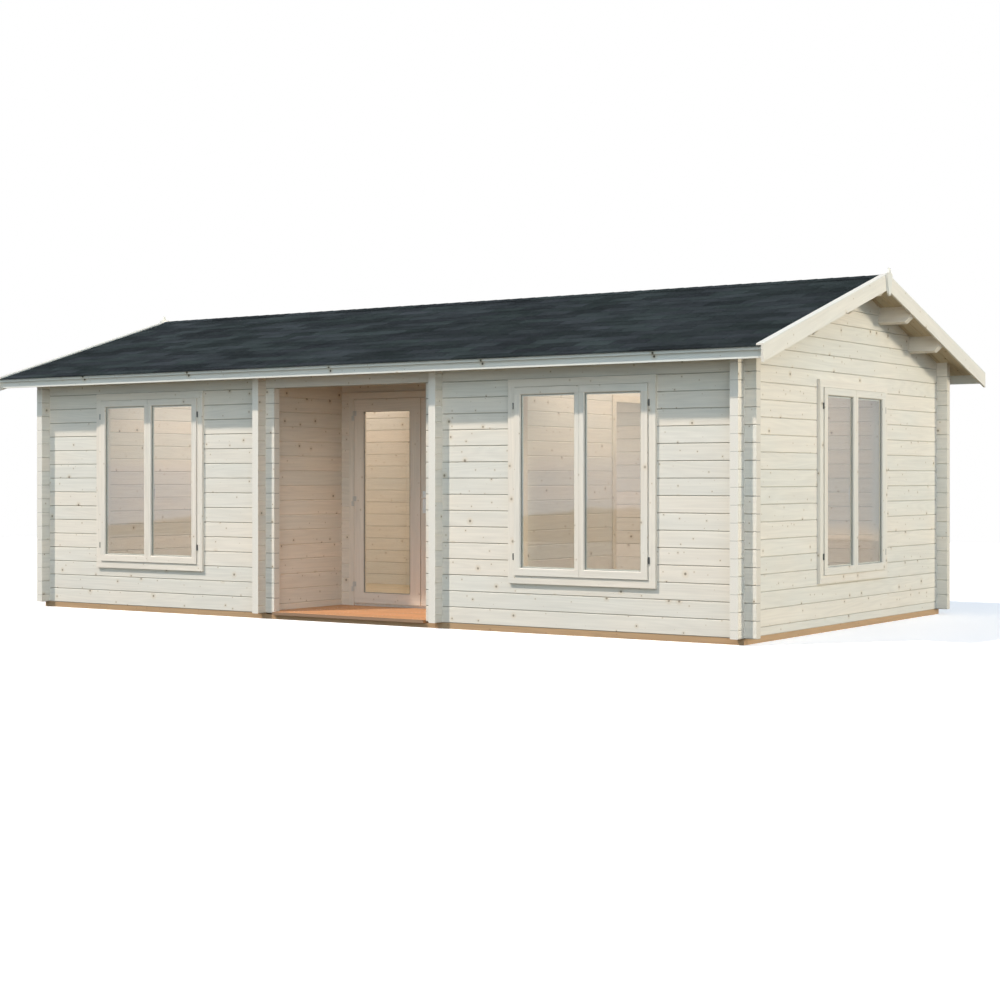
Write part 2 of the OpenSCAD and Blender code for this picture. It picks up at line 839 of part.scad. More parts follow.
module leaf_hinges() {
    at_pins() difference() {
        hinge_half(1, knuckle_gap);
        translate([0, 0, -eps]) cylinder(r = pin_r + pin_clear, h = knuckle_h, $fn = 32);
    }
}

module door_hinges() {
    color(steel) {
        frame_hinges();
        mirror([1, 0, 0]) frame_hinges();
    }
}

module door_hinge_leaves_left() { color(steel) leaf_hinges(); }

module door_hinge_leaves_right() { color(steel) mirror([1, 0, 0]) leaf_hinges(); }

// Window hinges lie on the casings, beside the sashes
module window_hinges() {
    x = sash_w_all / 2 + sash_gap + window_hinge_r + 1;
    low = casing_w + sash_gap;
    color(steel) for (place = ["left", "right", "gable"]) at_window(place)
        for (side = [-1, 1], z = [low + hinge_in, low + sash_h_all - hinge_in]) union() {
            translate([side * x, -casing_out - window_hinge_r, z - window_hinge_h / 2])
                cylinder(r = window_hinge_r, h = window_hinge_h, $fn = 24);
            translate([side * x - window_hinge_r, -casing_out - 2, z - window_hinge_h / 2])
                cube([2 * window_hinge_r, 2, window_hinge_h]);
        }
}

base_beams();
base_cross_beams();
floor_joists();
room_floors();
hall_floor();
deck_joists();
deck_planks();
front_wall_left();
front_wall_right();
front_beam();
back_wall();
gable_wall_left();
gable_wall_right();
porch_wall_left();
porch_wall_right();
partition_rear();
partition_head();
door_wall_left();
door_wall_right();
door_wall_head();
ridge_purlin();
side_purlins();
roof_boards_front();
roof_boards_back();
roofing_front();
roofing_back();
fascia_boards();
barge_boards_left();
barge_boards_right();
edge_strips();
finials();
window_frame_left();
window_frame_right();
window_frame_gable();
window_sashes_left();
window_sashes_right();
window_sashes_gable();
window_glass_left();
window_glass_right();
window_glass_gable();
door_frame();
passage_frame();
door_leaf_left();
door_leaf_right();
door_glass_left();
door_glass_right();
door_handle();
door_hinges();
door_hinge_leaves_left();
door_hinge_leaves_right();
window_hinges();
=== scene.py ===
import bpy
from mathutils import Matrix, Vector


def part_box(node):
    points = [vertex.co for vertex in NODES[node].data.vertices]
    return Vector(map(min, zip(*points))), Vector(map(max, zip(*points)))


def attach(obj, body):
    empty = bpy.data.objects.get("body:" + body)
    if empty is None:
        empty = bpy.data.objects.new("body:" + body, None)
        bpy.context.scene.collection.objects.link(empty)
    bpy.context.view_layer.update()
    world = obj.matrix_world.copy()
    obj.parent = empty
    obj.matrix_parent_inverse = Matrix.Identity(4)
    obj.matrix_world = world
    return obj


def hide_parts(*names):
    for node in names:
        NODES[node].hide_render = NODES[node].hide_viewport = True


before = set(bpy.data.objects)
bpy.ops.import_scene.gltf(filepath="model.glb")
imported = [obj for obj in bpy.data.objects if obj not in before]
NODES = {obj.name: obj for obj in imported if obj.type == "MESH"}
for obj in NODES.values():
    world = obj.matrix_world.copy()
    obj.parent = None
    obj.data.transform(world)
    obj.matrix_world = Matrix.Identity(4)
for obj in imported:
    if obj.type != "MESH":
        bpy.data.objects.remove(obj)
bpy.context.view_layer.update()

import math
import random

import bmesh
import bpy
from mathutils import Vector

AXES = "XYZ"

# The camera stands where the photograph was taken, as worked out from the log courses and the roof lines
CAMERA_PLACE = (10.139, -14.459, 1.249)
CAMERA_TURN = math.radians(34.39)
FOCAL_PX = 1863.0
FRAME_PX = 1000.0
HORIZON_PX = 478.08
SENSOR_MM = 36.0

# Walls, as in the CAD, in metres
HALF_LENGTH = 3.795
HALF_WIDTH = 1.965
PORCH_HALF = 0.9375
PORCH_DEPTH = 1.065
LOG_H = 0.133
LOG_T = 0.07
FOOT_Z = 0.05
FRONT_COURSES = 15
PLATE_H = 0.105

# Roof: heights are square to the slope, from the plane that the boards lie on
PITCH = math.radians(17.25)
SLOPE = math.tan(PITCH)
RIDGE_Z = FOOT_Z + (FRONT_COURSES + 1) * LOG_H + PLATE_H + HALF_WIDTH * SLOPE
LAYER_GAP = 0.0002
BOARD_T = 0.019
COVER_T = 0.008
BOARDS_LOW = LAYER_GAP
BOARDS_HIGH = BOARDS_LOW + BOARD_T
COVER_HIGH = BOARDS_HIGH + LAYER_GAP + COVER_T
GABLE_OUT = 0.318
EAVE_OUT = 0.282
BARGE_T = 0.018
FASCIA_T = 0.018
STRIP_W = 0.058
LATH_T = 0.025
DRIP = 0.020
BARGE_X = HALF_LENGTH + GABLE_OUT
ROOF_X = BARGE_X - BARGE_T
STRIP_X = BARGE_X - STRIP_W
BOARDS_EDGE = HALF_WIDTH + EAVE_OUT - FASCIA_T
ROOF_EDGE = HALF_WIDTH + EAVE_OUT + LATH_T + DRIP
SLOPE_RUN = ROOF_EDGE / math.cos(PITCH)
PLANK_COUNT = 92
PLANK_W = 2 * ROOF_X / PLANK_COUNT

# Felt: height of a course, length of a tab, the least tab at a gable, the slot at each side of a tab, its
# thickness at the upper and the lower edge, and how far the rows end short of the edge strips
COURSE = 0.1435
TAB = 0.333
LEAST_TAB = 0.02
TAB_SLOT = 0.003
TAB_UPPER_T = 0.0008
TAB_LOWER_T = 0.0024
FELT_IN = 0.001

# Windows: a window's own x, y and z start from its middle on the wall's face, at ground level
WINDOW_X = (PORCH_HALF + HALF_LENGTH) / 2
WINDOW_W = 1.367
WINDOW_H = 1.645
CASING_W = 0.062
SASH_W = 0.062
SASH_MEET = 0.045
SASH_GAP = 0.003
SASH_FRONT = -0.039
SASH_T = 0.046
GLASS_T = 0.008
GLASS_GROOVE = 0.009
SASHES_W = WINDOW_W - 2 * CASING_W - 2 * SASH_GAP
SASHES_H = WINDOW_H - 2 * CASING_W - 2 * SASH_GAP
PANE_W = (SASHES_W - SASH_GAP) / 2 - SASH_W - SASH_MEET
PANE_H = SASHES_H - 2 * SASH_W
PANE_OUT = SASHES_W / 2 - SASH_W
WINDOW_Z = FOOT_Z + FRONT_COURSES * LOG_H - WINDOW_H
PANE_LOW = WINDOW_Z + CASING_W + SASH_GAP + SASH_W
PANE_HIGH = PANE_LOW + PANE_H
BEAD_W = 0.012
BEAD_T = 0.014
SEAL_W = 0.003
SEAL_T = 0.003
# Kept between a pane and what lies against it
HAIR = 0.0001

# Doors and floors
THRESHOLD_H = 0.036
LEAF_GAP = 0.005
LEAF_H = 1.887
TOP_RAIL = 0.114
BOTTOM_RAIL = 0.098
LEAF_LOW = FOOT_Z + THRESHOLD_H + LEAF_GAP
LEAF_HIGH = LEAF_LOW + LEAF_H
PASSAGE_H = 1.928
FLOOR_BOARD_W = 0.096
DECK_COUNT = 9
DECK_GAP = 0.005
DECK_JOISTS = 4

# Colours, linear
SPRUCE = (0.745, 0.71, 0.64)
SPRUCE_INSIDE = (0.72, 0.66, 0.55)
LOG_ENDS = (0.765, 0.715, 0.635)
JOINERY = (0.745, 0.705, 0.635)
# The boards' own brown, set a little darker so that the eaves' underside carries painted shade; the floors
# and joists share this colour
BOARDS_WITH_EAVE_SHADE = (0.585, 0.49, 0.34)
DECK = (0.62, 0.315, 0.155)
BASE = (0.50, 0.33, 0.19)
# A cooler, darker copy of the spruce: painted shade for the fascia under the roof's edge
FASCIA_SHADED = (0.69, 0.70, 0.665)
# Warmer, darker copies of the spruce and the joinery: painted shade and warm bounce light for the porch's
# left wall, the door wall, the door leaves and their frame inside the porch
PORCH_SHADED = (0.715, 0.635, 0.54)
DOOR_SHADED = (0.705, 0.64, 0.56)
FELT = (0.0243, 0.0282, 0.0286)
# Painted shade for the joints between logs and boards
JOINT_SHADE = (0.16, 0.14, 0.11)
KNOT_RIM = (0.26, 0.20, 0.13)
KNOT_HEART = (0.085, 0.07, 0.05)
FLECK = (0.16, 0.17, 0.18)
WHITE = (1.0, 1.0, 1.0)
# Factors for warmer and greener wood, the grain round a knot, and bluer and olive felt
WARM = (1.01, 0.965, 0.92)
GREEN = (0.99, 0.995, 0.985)
HALO = (0.84, 0.74, 0.60)
BLUE_FELT = (1.01, 0.99, 1.07)
OLIVE_FELT = (0.94, 1.05, 1.0)

# Wood: noise cells per metre along the grain and the two ways across it
FIBRE_CELLS = (5.0, 260.0, 260.0)
STREAK_CELLS = (1.6, 42.0, 42.0)
FIGURE_CELLS = (0.5, 6.0, 6.0)
PATCH_CELLS = (0.9, 2.0, 2.0)
# How far each layer makes the wood lighter and darker, at a contrast of 1
FIBRE_TONE = 0.12
STREAK_TONE = 0.24
LINE_TONE = 0.020
PATCH_TONE = 0.08
BOARD_TONE = 0.07
# Growth lines: radians for each unit of the figure, and how far a knot bends them
LINES_TURN = 85.0
LINES_BEND = 0.16
# Growth rings on a log's end, in radians a metre
RINGS_TURN = 1500.0
# Knots: cells per metre, share of the cells that hold a knot, and the least and greatest radius in metres
KNOT_LAYERS = ((4.6, 0.72, 0.0045, 0.0125), (7.5, 0.60, 0.0015, 0.0045))

# The backdrop. The camera and rays through glass see it pale; other rays see an open sky and brown ground
SKY_LOW = (0.31, 0.54, 0.66)
SKY_HIGH = (0.14, 0.25, 0.42)
GROUND = (0.17, 0.14, 0.095)
LAND = (0.085, 0.05, 0.03)
HAZE_AHEAD = (0.54, 0.68, 0.92)
HAZE_BESIDE = (0.34, 0.47, 0.60)
DUSK = (1.0, 0.82, 0.66)
GLOW = (0.84, 0.97, 1.0)
FLOOR_SIZE = 40.0
FLOOR_SEEN = (0.87, 0.82, 0.785)
FLOOR_SHINE = 0.46

# Far lamps: name, strength, colour, angle across in degrees, and the way their light travels
FAR_LAMPS = (
    ("key", 3.12, (1.0, 0.905, 0.81), 2.5, (0.71, 1.0, -1.5)),
    ("fill", 1.98, (1.0, 0.885, 0.70), 10.0, (-0.60, -0.28, -0.075)),
    ("front", 1.84, (0.93, 0.97, 1.0), 75.0, (-0.6, 0.7, -0.15)),
)
# Room lamps: name, watts, colour, place, and size along x and y
ROOM_LAMPS = (
    ("room_left", 27.0, (1.0, 0.88, 0.81), (-2.85, 0.45, 2.27), (1.2, 2.9)),
    ("room_middle", 28.0, (1.0, 0.89, 0.83), (-0.1, 0.25, 2.27), (1.5, 1.8)),
    ("room_right", 27.5, (1.0, 0.85, 0.73), (2.0, 0.5, 2.27), (1.8, 2.2)),
)


def camera():
    data = bpy.data.cameras.new("photo_view")
    data.sensor_width = SENSOR_MM
    data.lens = FOCAL_PX * SENSOR_MM / FRAME_PX
    data.shift_y = (HORIZON_PX - FRAME_PX / 2) / FRAME_PX
    view = bpy.data.objects.new("photo_view", data)
    view.location = CAMERA_PLACE
    view.rotation_euler = (math.radians(90), 0, CAMERA_TURN)
    bpy.context.scene.collection.objects.link(view)
    bpy.context.scene.camera = view


class Shading:
    """One node tree, with short calls that add its nodes and join them."""

    def __init__(self, owner):
        owner.use_nodes = True
        self.tree = owner.node_tree
        self.shader = self.tree.nodes.get("Principled BSDF")

    def put(self, socket, value):
        if isinstance(value, bpy.types.NodeSocket):
            self.tree.links.new(value, socket)
        elif hasattr(value, "__len__") and len(value) == 3 and len(socket.default_value) == 4:
            socket.default_value = (*value, 1)
        else:
            socket.default_value = value

    def set(self, **values):
        """Puts values on the shader's sockets; an underscore stands for a space."""
        for key, value in values.items():
            self.put(self.shader.inputs[key.replace("_", " ")], value)

    def add(self, kind, inputs=(), **settings):
        made = self.tree.nodes.new("ShaderNode" + kind)
        for key, value in settings.items():
            setattr(made, key, value)
        for key, value in dict(inputs).items():
            self.put(made.inputs[key], value)
        return made

    def math(self, operation, *values):
        return self.add("Math", enumerate(values), operation=operation).outputs[0]

    def plus(self, first, *others):
        for other in others:
            first = self.math("ADD", first, other)
        return first

    def minus(self, first, second):
        return self.math("SUBTRACT", first, second)

    def times(self, first, second):
        return self.math("MULTIPLY", first, second)

    def swing(self, value, reach):
        """The value's distance from a half, times the reach."""
        return self.times(self.minus(value, 0.5), reach)

    def vector(self, x, y, z):
        return self.add("CombineXYZ", {"X": x, "Y": y, "Z": z}).outputs[0]

    def split(self, vector):
        made = self.add("SeparateXYZ", {0: vector})
        return [made.outputs[name] for name in AXES]

    def scaled(self, vector, factors, offset=(0, 0, 0)):
        inputs = enumerate((vector, factors, offset))
        return self.add("VectorMath", inputs, operation="MULTIPLY_ADD").outputs[0]

    def place(self, which="Object"):
        return self.add("TexCoord").outputs[which]

    def mix(self, factor, first, second, blend="MIX"):
        inputs = {0: factor, 6: first, 7: second}
        return self.add("Mix", inputs, data_type="RGBA", blend_type=blend).outputs[2]

    def lit(self, colour, light):
        """The colour made lighter or darker by a number."""
        return self.mix(1.0, colour, self.vector(light, light, light), "MULTIPLY")

    def between(self, value, low, high, at_low=0.0, at_high=1.0):
        """The value carried from low..high to at_low..at_high, held at both ends."""
        inputs = {"From Min": low, "From Max": high, "To Min": at_low, "To Max": at_high, "Value": value}
        return self.add("MapRange", inputs, interpolation_type="SMOOTHSTEP").outputs["Result"]

    def noise(self, vector, scale=1.0, detail=3.0, roughness=0.5):
        inputs = {"Vector": vector, "Scale": scale, "Detail": detail, "Roughness": roughness}
        return self.add("TexNoise", inputs).outputs["Fac"]

    def random(self, *numbers):
        """A number from 0 to 1 and three more as a colour, fixed by three numbers."""
        made = self.add("TexWhiteNoise", {"Vector": self.vector(*numbers)}, noise_dimensions="3D")
        return made.outputs["Value"], made.outputs["Color"]

    def bump(self, height, strength, distance):
        made = self.add("Bump", {"Height": height, "Strength": strength, "Distance": distance})
        self.set(Normal=made.outputs["Normal"])


def material(name):
    made = bpy.data.materials.new(name)
    return made, Shading(made)


def tinted(colour, *factors):
    """The colour with each channel multiplied by its own factor, or all by one."""
    if len(factors) == 1:
        factors = factors * 3
    return tuple(channel * factor for channel, factor in zip(colour, factors))


def board_space(s, along, slope, rails):
    """The place on the object; and coordinates along the grain, into the board and across it."""
    x, y, z = s.split(s.place())
    if slope:
        # Both slopes are folded onto one and turned level
        out = s.times(s.math("ABSOLUTE", y), -1.0)
        run = s.plus(s.times(out, math.cos(PITCH)), s.times(z, math.sin(PITCH)))
        rise = s.minus(s.times(z, math.cos(PITCH)), s.times(out, math.sin(PITCH)))
        y, z = run, rise
    order = {"X": (x, y, z), "Y": (y, x, z), "Z": (z, y, x)}
    space = s.vector(*order[along])
    if rails:
        low, high, across = rails
        stile = {"X": (z, y, x), "Y": (z, x, y)}[across]
        rail = {"X": (x, y, z), "Y": (y, x, z)}[across]
        is_rail = s.math("MAXIMUM", s.math("LESS_THAN", z, low), s.math("GREATER_THAN", z, high))
        inputs = {0: is_rail, 4: s.vector(*stile), 5: s.vector(*rail)}
        space = s.add("Mix", inputs, data_type="VECTOR").outputs[1]
    return (x, y, z), space


def knot_layer(s, flat, shift, cells, share, least, most):
    """Round knots on a plane: how dark the knot is and how far the bent grain round it reaches."""
    place = s.scaled(flat, (cells, cells, cells), shift)
    inputs = {"Vector": place, "Scale": 1.0, "Randomness": 1.0}
    spots = s.add("TexVoronoi", inputs, voronoi_dimensions="2D")
    chance, girth, _ = s.split(spots.outputs["Color"])
    reach = s.between(s.math("POWER", girth, 2.0), 0.0, 1.0, least * cells, most * cells)
    away = s.math("DIVIDE", spots.outputs["Distance"], reach)
    present = s.math("LESS_THAN", chance, share)
    # Distances from here on are in radii of the knot
    knot = s.times(present, s.between(away, 0.55, 1.25, 1.0, 0.0))
    halo = s.times(present, s.between(away, 0.9, 3.6, 0.55, 0.0))
    return knot, halo


def knot_pattern(s, space, shift, amount):
    """Knots lie on the plane of the board, so they stay round on its faces and its edges."""
    run, depth, across = s.split(space)
    flat = s.vector(run, s.plus(depth, across), 0.0)
    layers = [knot_layer(s, flat, shift, *layer) for layer in KNOT_LAYERS]
    return [s.times(s.math("MAXIMUM", *pair), amount) for pair in zip(*layers)]


def end_grain(s, space, part, row, rows, heart, colour):
    """Growth rings; where there are rows, their heart lies a little off the middle of each end."""
    _, depth, across = s.split(space)
    depth = s.minus(depth, heart)
    if rows:
        across = s.times(s.minus(part, 0.35), rows[2])
    out = s.math("SQRT", s.plus(s.math("POWER", depth, 2.0), s.math("POWER", across, 2.0)))
    wobble = s.noise(s.vector(depth, across, row), scale=26.0, detail=3)
    years = s.math("SINE", s.times(s.plus(out, s.times(wobble, 0.02)), RINGS_TURN))
    return s.mix(s.between(years, -0.4, 1.0), tinted(colour, 1.07), tinted(colour, 0.93))


def wood(name, colour, along="X", rows=None, seed=0.0, slope=False, rails=None, knots=0.75, contrast=1.0,
         joint=0.0, groove=0.45, rough=0.62, heart=0.0, ends=None):
    """Planed softwood: grain, growth lines, knots, a tone for each board, and end grain across the ends.

    along is the axis of the grain. rows is the axis across the boards, the place of the first joint and
    the width of a board; joint is how far the shade of a joint reaches, and groove how dark it is. rails
    is the top of the lower rail, the foot of the upper one and the axis that they run along. heart is the
    place of a log's middle between its faces, and ends is the colour of its end grain."""
    made, s = material(name)
    coords, space = board_space(s, along, slope, rails)
    row, part = seed, 0.5
    if rows:
        axis, first, pitch = rows
        level = s.math("DIVIDE", s.minus(coords[AXES.index(axis)], first), pitch)
        row = s.math("FLOOR", level)
        part = s.minus(level, row)
    tone, tint = s.random(row, seed, 3.0)
    shift = s.scaled(tint, (31.0, 17.0, 23.0), (seed, seed * 3.1, seed * 1.7))

    knot, halo = knot_pattern(s, space, shift, knots)
    fibres = s.noise(s.scaled(space, FIBRE_CELLS, shift), detail=4, roughness=0.65)
    streaks = s.noise(s.scaled(space, STREAK_CELLS, shift), detail=4, roughness=0.6)
    figure = s.noise(s.scaled(space, FIGURE_CELLS, shift), detail=2, roughness=0.4)
    patches = s.noise(s.scaled(space, PATCH_CELLS, shift), detail=2)
    lines = s.math("SINE", s.times(s.plus(figure, s.times(halo, LINES_BEND)), LINES_TURN))
    light = s.plus(1.0, s.swing(streaks, STREAK_TONE * contrast), s.swing(fibres, FIBRE_TONE * contrast),
                   s.times(lines, LINE_TONE * contrast), s.swing(patches, PATCH_TONE * contrast),
                   s.swing(tone, BOARD_TONE * contrast))

    warm = tinted(colour, *WARM)
    green = tinted(colour, *GREEN)
    hue = s.mix(s.between(s.plus(patches, s.times(tone, 0.35)), 0.40, 0.95), green, warm)
    body = s.lit(hue, light)
    body = s.mix(halo, body, s.mix(1.0, body, HALO, "MULTIPLY"))
    body = s.mix(knot, body, s.mix(s.between(knot, 0.4, 1.0), KNOT_RIM, KNOT_HEART))
    if not rails:
        facing = s.math("ABSOLUTE", s.split(s.place("Normal"))[AXES.index(along)])
        cut = end_grain(s, space, part, row, rows, heart, ends or tinted(warm, 0.91))
        body = s.mix(s.between(facing, 0.80, 0.92), body, cut)
    # Painted shade along each joint, darkest at the joint itself
    if joint:
        near = s.times(s.math("MINIMUM", part, s.minus(1.0, part)), rows[2])
        body = s.mix(s.between(near, 0.0005, joint, groove, 0.0), body, JOINT_SHADE)

    s.set(Base_Color=body, Roughness=s.between(streaks, 0.2, 0.8, rough - 0.07, rough + 0.10),
          Specular_IOR_Level=0.28)
    relief = s.plus(s.times(fibres, 0.5), s.times(streaks, 0.6))
    s.bump(s.minus(relief, s.times(knot, 0.25)), 0.35, 0.0008)
    return made


def felt(name):
    """Mineral felt shingles: a tone for each tab, granules, pale flecks and weather clouds."""
    made, s = material(name)
    place = s.place()
    x, y, _ = s.split(place)
    run = s.math("DIVIDE", s.math("ABSOLUTE", y), math.cos(PITCH))
    course = s.math("FLOOR", s.math("DIVIDE", run, COURSE))
    step = s.times(s.math("MODULO", course, 2.0), 0.5)
    tab = s.math("FLOOR", s.plus(s.math("DIVIDE", x, TAB), step))
    tone, tint = s.random(tab, course, s.math("SIGN", y))
    grains = s.noise(place, scale=620.0, detail=2, roughness=0.7)
    flecks = s.add("TexVoronoi", {"Vector": place, "Scale": 420.0})
    cloud = s.noise(s.scaled(place, (1.7, 3.4, 3.4)), detail=4, roughness=0.6)
    light = s.between(tone, 0.0, 1.0, 0.74, 1.30)
    light = s.times(light, s.between(cloud, 0.25, 0.75, 0.66, 1.36))
    light = s.times(light, s.between(grains, 0.3, 0.7, 0.80, 1.25))
    body = s.mix(s.split(tint)[1], tinted(FELT, *BLUE_FELT), tinted(FELT, *OLIVE_FELT))
    body = s.lit(body, light)
    pale = s.math("LESS_THAN", s.split(flecks.outputs["Color"])[0], 0.045)
    body = s.mix(s.times(pale, 0.5), body, FLECK)
    s.set(Base_Color=body, Roughness=0.95, Specular_IOR_Level=0.03)
    s.bump(grains, 0.6, 0.0012)
    return made


def metal(name, colour, rough, metallic=1.0):
    """Satin metal with fine brushing and a little grime."""
    made, s = material(name)
    place = s.place()
    brushed = s.noise(s.scaled(place, (900.0, 900.0, 40.0)), detail=3)
    grime = s.noise(place, scale=60.0, detail=4, roughness=0.6)
    s.set(Base_Color=s.mix(s.between(grime, 0.5, 0.8, 0.0, 0.5), colour, tinted(colour, 0.6)),
          Metallic=metallic, Roughness=s.between(brushed, 0.2, 0.8, rough - 0.06, rough + 0.08))
    s.bump(brushed, 0.12, 0.0003)
    return made


def rubber(name):
    """Grey seals, unevenly worn."""
    made, s = material(name)
    wear = s.noise(s.place(), scale=90.0, detail=4)
    # The grey is the seals' own colour and is also kept dark to paint the shade at the panes' edges
    s.set(Base_Color=s.mix(wear, (0.16, 0.155, 0.14), (0.26, 0.25, 0.23)), Roughness=0.7)
    return made


def glass(name):
    """Clear panes that let the lamps through, with a faint film of dust."""
    made, s = material(name)
    dust = s.noise(s.place(), scale=14.0, detail=5, roughness=0.65)
    # One sheet stands for a sealed unit with four faces, so each of its two faces mirrors twice as much
    s.set(Base_Color=(0.93, 0.955, 0.94), Roughness=s.between(dust, 0.45, 0.9, 0.0, 0.05), IOR=2.0,
          Transmission_Weight=1.0)
    path = s.add("LightPath")
    passes = s.math("MAXIMUM", path.outputs["Is Shadow Ray"], path.outputs["Is Diffuse Ray"])
    clear = s.add("BsdfTransparent", {"Color": (0.90, 0.92, 0.90)})
    both = s.add("MixShader", {0: passes, 1: s.shader.outputs[0], 2: clear.outputs[0]})
    s.put(s.tree.nodes["Material Output"].inputs["Surface"], both.outputs[0])
    return made


def seen_rays(s):
    """Whether a ray shows the backdrop itself, also through glass; and whether it is a mirrored one."""
    path = s.add("LightPath")
    seen = s.math("MAXIMUM", path.outputs["Is Camera Ray"], path.outputs["Is Transmission Ray"])
    return seen, path.outputs["Is Glossy Ray"]


def stage():
    bpy.ops.mesh.primitive_plane_add(size=FLOOR_SIZE)
    floor = bpy.context.object
    floor.name = "studio_floor"
    made, s = material("studio_floor")
    seen, glossy = seen_rays(s)
    s.set(Base_Color=s.mix(seen, s.mix(glossy, GROUND, LAND), FLOOR_SEEN), Roughness=0.9,
          Specular_IOR_Level=0.0, Emission_Color=WHITE, Emission_Strength=s.times(seen, FLOOR_SHINE))
    floor.data.materials.append(made)


def mirrored_sky(s, direction):
    """What panes and gloss mirror: pale sky over haze before the front, dusk beside it, and brown land."""
    x, y, z = s.split(direction)
    clouds = s.noise(s.scaled(direction, (5.0, 5.0, 90.0)), detail=4, roughness=0.6)
    hills = s.noise(s.vector(x, y, 0.0), scale=9.0, detail=5, roughness=0.55)
    ahead = s.minus(s.times(x, 0.35), s.times(y, 0.94))
    front = s.between(ahead, -0.05, 0.40)
    height = s.plus(z, s.swing(clouds, 0.030))
    glow = s.times(front, s.between(height, 0.000, 0.016))
    rim = s.plus(-0.049, s.times(hills, 0.030), s.between(ahead, -0.2, 0.9, 0.0, 0.019))
    over_rim = s.minus(z, rim)
    dusk = s.times(s.minus(1.0, front), s.between(over_rim, 0.0, 0.011, 0.9, 0.0))
    sky = s.mix(front, HAZE_BESIDE, HAZE_AHEAD)
    sky = s.mix(dusk, sky, DUSK)
    sky = s.mix(glow, sky, GLOW)
    return s.mix(s.between(over_rim, -0.0012, 0.0012), LAND, sky)


def far_lamp(name, energy, colour, angle, travel):
    data = bpy.data.lights.new(name, "SUN")
    data.energy = energy
    data.color = colour
    data.angle = math.radians(angle)
    made = bpy.data.objects.new(name, data)
    made.rotation_euler = Vector(travel).to_track_quat("-Z", "Y").to_euler()
    bpy.context.scene.collection.objects.link(made)


def room_lamp(name, energy, colour, place, size):
    """A wide soft lamp under a room's ceiling; only its light is seen."""
    data = bpy.data.lights.new(name, "AREA")
    data.shape = "RECTANGLE"
    data.size, data.size_y = size
    data.energy = energy
    data.color = colour
    made = bpy.data.objects.new(name, data)
    made.location = place
    made.visible_camera = False
    made.visible_glossy = False
    made.visible_transmission = False
    bpy.context.scene.collection.objects.link(made)


def light():
    world = bpy.data.worlds.new("studio")
    s = Shading(world)
    direction = s.place("Generated")
    seen, glossy = seen_rays(s)
    plain = s.mix(s.between(s.split(direction)[2], 0.05, 0.65), SKY_LOW, SKY_HIGH)
    colour = s.mix(glossy, plain, mirrored_sky(s, direction))
    s.put(s.tree.nodes["Background"].inputs["Color"], s.mix(seen, colour, WHITE))
    bpy.context.scene.world = world
    for row in FAR_LAMPS:
        far_lamp(*row)
    for row in ROOM_LAMPS:
        room_lamp(*row)


class Piece:
    """A mesh in the making: closed bars are added to it, then it is placed in the scene."""

    def __init__(self, name):
        self.name = name
        self.points = []
        self.faces = []

    def bar(self, *rings):
        """A closed bar through rings that have the same number of points."""
        count = len(rings[0])
        start = len(self.points)
        for ring in rings:
            self.points += [tuple(point) for point in ring]
        last = start + (len(rings) - 1) * count
        for low in range(start, last, count):
            high = low + count
            for i in range(count):
                j = (i + 1) % count
                self.faces.append((low + i, low + j, high + j, high + i))
        self.faces.append(tuple(reversed(range(start, start + count))))
        self.faces.append(tuple(range(last, last + count)))

    def place(self, made, slot=None, replaces=(), body="root"):
        mesh = bpy.data.meshes.new(self.name)
        mesh.from_pydata(self.points, [], self.faces)
        mesh.validate()
        mesh.materials.append(made)
        thing = bpy.data.objects.new(self.name, mesh)
        bpy.context.scene.collection.objects.link(thing)
        bpy.context.view_layer.update()
        face_outwards(mesh)
        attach(thing, body)
        if replaces:
            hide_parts(*replaces)


def face_outwards(mesh):
    work = bmesh.new()
    work.from_mesh(mesh)
    bmesh.ops.recalc_face_normals(work, faces=work.faces)
    work.to_mesh(mesh)
    work.free()


def circle(count):
    """Cosine and sine at equal steps once round."""
    turns = [2 * math.pi * i / count for i in range(count)]
    return [(math.cos(turn), math.sin(turn)) for turn in turns]


def on_slope(side, x, run, height):
    """A point at a distance run from the ridge along one slope, at a height square to the slope."""
    y = run * math.cos(PITCH)
    return (x, side * y, RIDGE_Z - y * SLOPE + height / math.cos(PITCH))


def tab_joints(course):
    """Where the tabs of a course end, from gable to gable; every other course is half a tab along."""
    step = (course % 2) * 0.5
    reach = math.ceil(STRIP_X / TAB)
    end = STRIP_X - FELT_IN
    joints = [(tab - step) * TAB for tab in range(-reach, reach + 1)]
    return [-end] + [x for x in joints if LEAST_TAB - end < x < STRIP_X - LEAST_TAB] + [end]


def shingles(side, name, made):
    """Rows of felt tabs; each tab lifts towards its lower edge, which stands over the next row."""
    chance = random.Random(7 + side)
    back = COVER_HIGH + TAB_UPPER_T
    piece = Piece(name)
    for course in range(math.ceil(SLOPE_RUN / COURSE)):
        top = course * COURSE
        low = min(top + COURSE, SLOPE_RUN)
        joints = tab_joints(course)
        for left, right in zip(joints, joints[1:]):
            lift = COVER_HIGH + TAB_LOWER_T + chance.uniform(-0.0004, 0.0006)
            drop = low
            if low < SLOPE_RUN:
                drop = low + chance.uniform(-0.0012, 0.0012)
            x0, x1 = left + TAB_SLOT, right - TAB_SLOT
            upper = [(x0, top, COVER_HIGH), (x1, top, COVER_HIGH), (x1, top, back), (x0, top, back)]
            lower = [(x0, drop, COVER_HIGH), (x1, drop, COVER_HIGH), (x1, drop, lift), (x0, drop, lift)]
            piece.bar([on_slope(side, *p) for p in upper], [on_slope(side, *p) for p in lower])
    piece.place(made, "roofing")


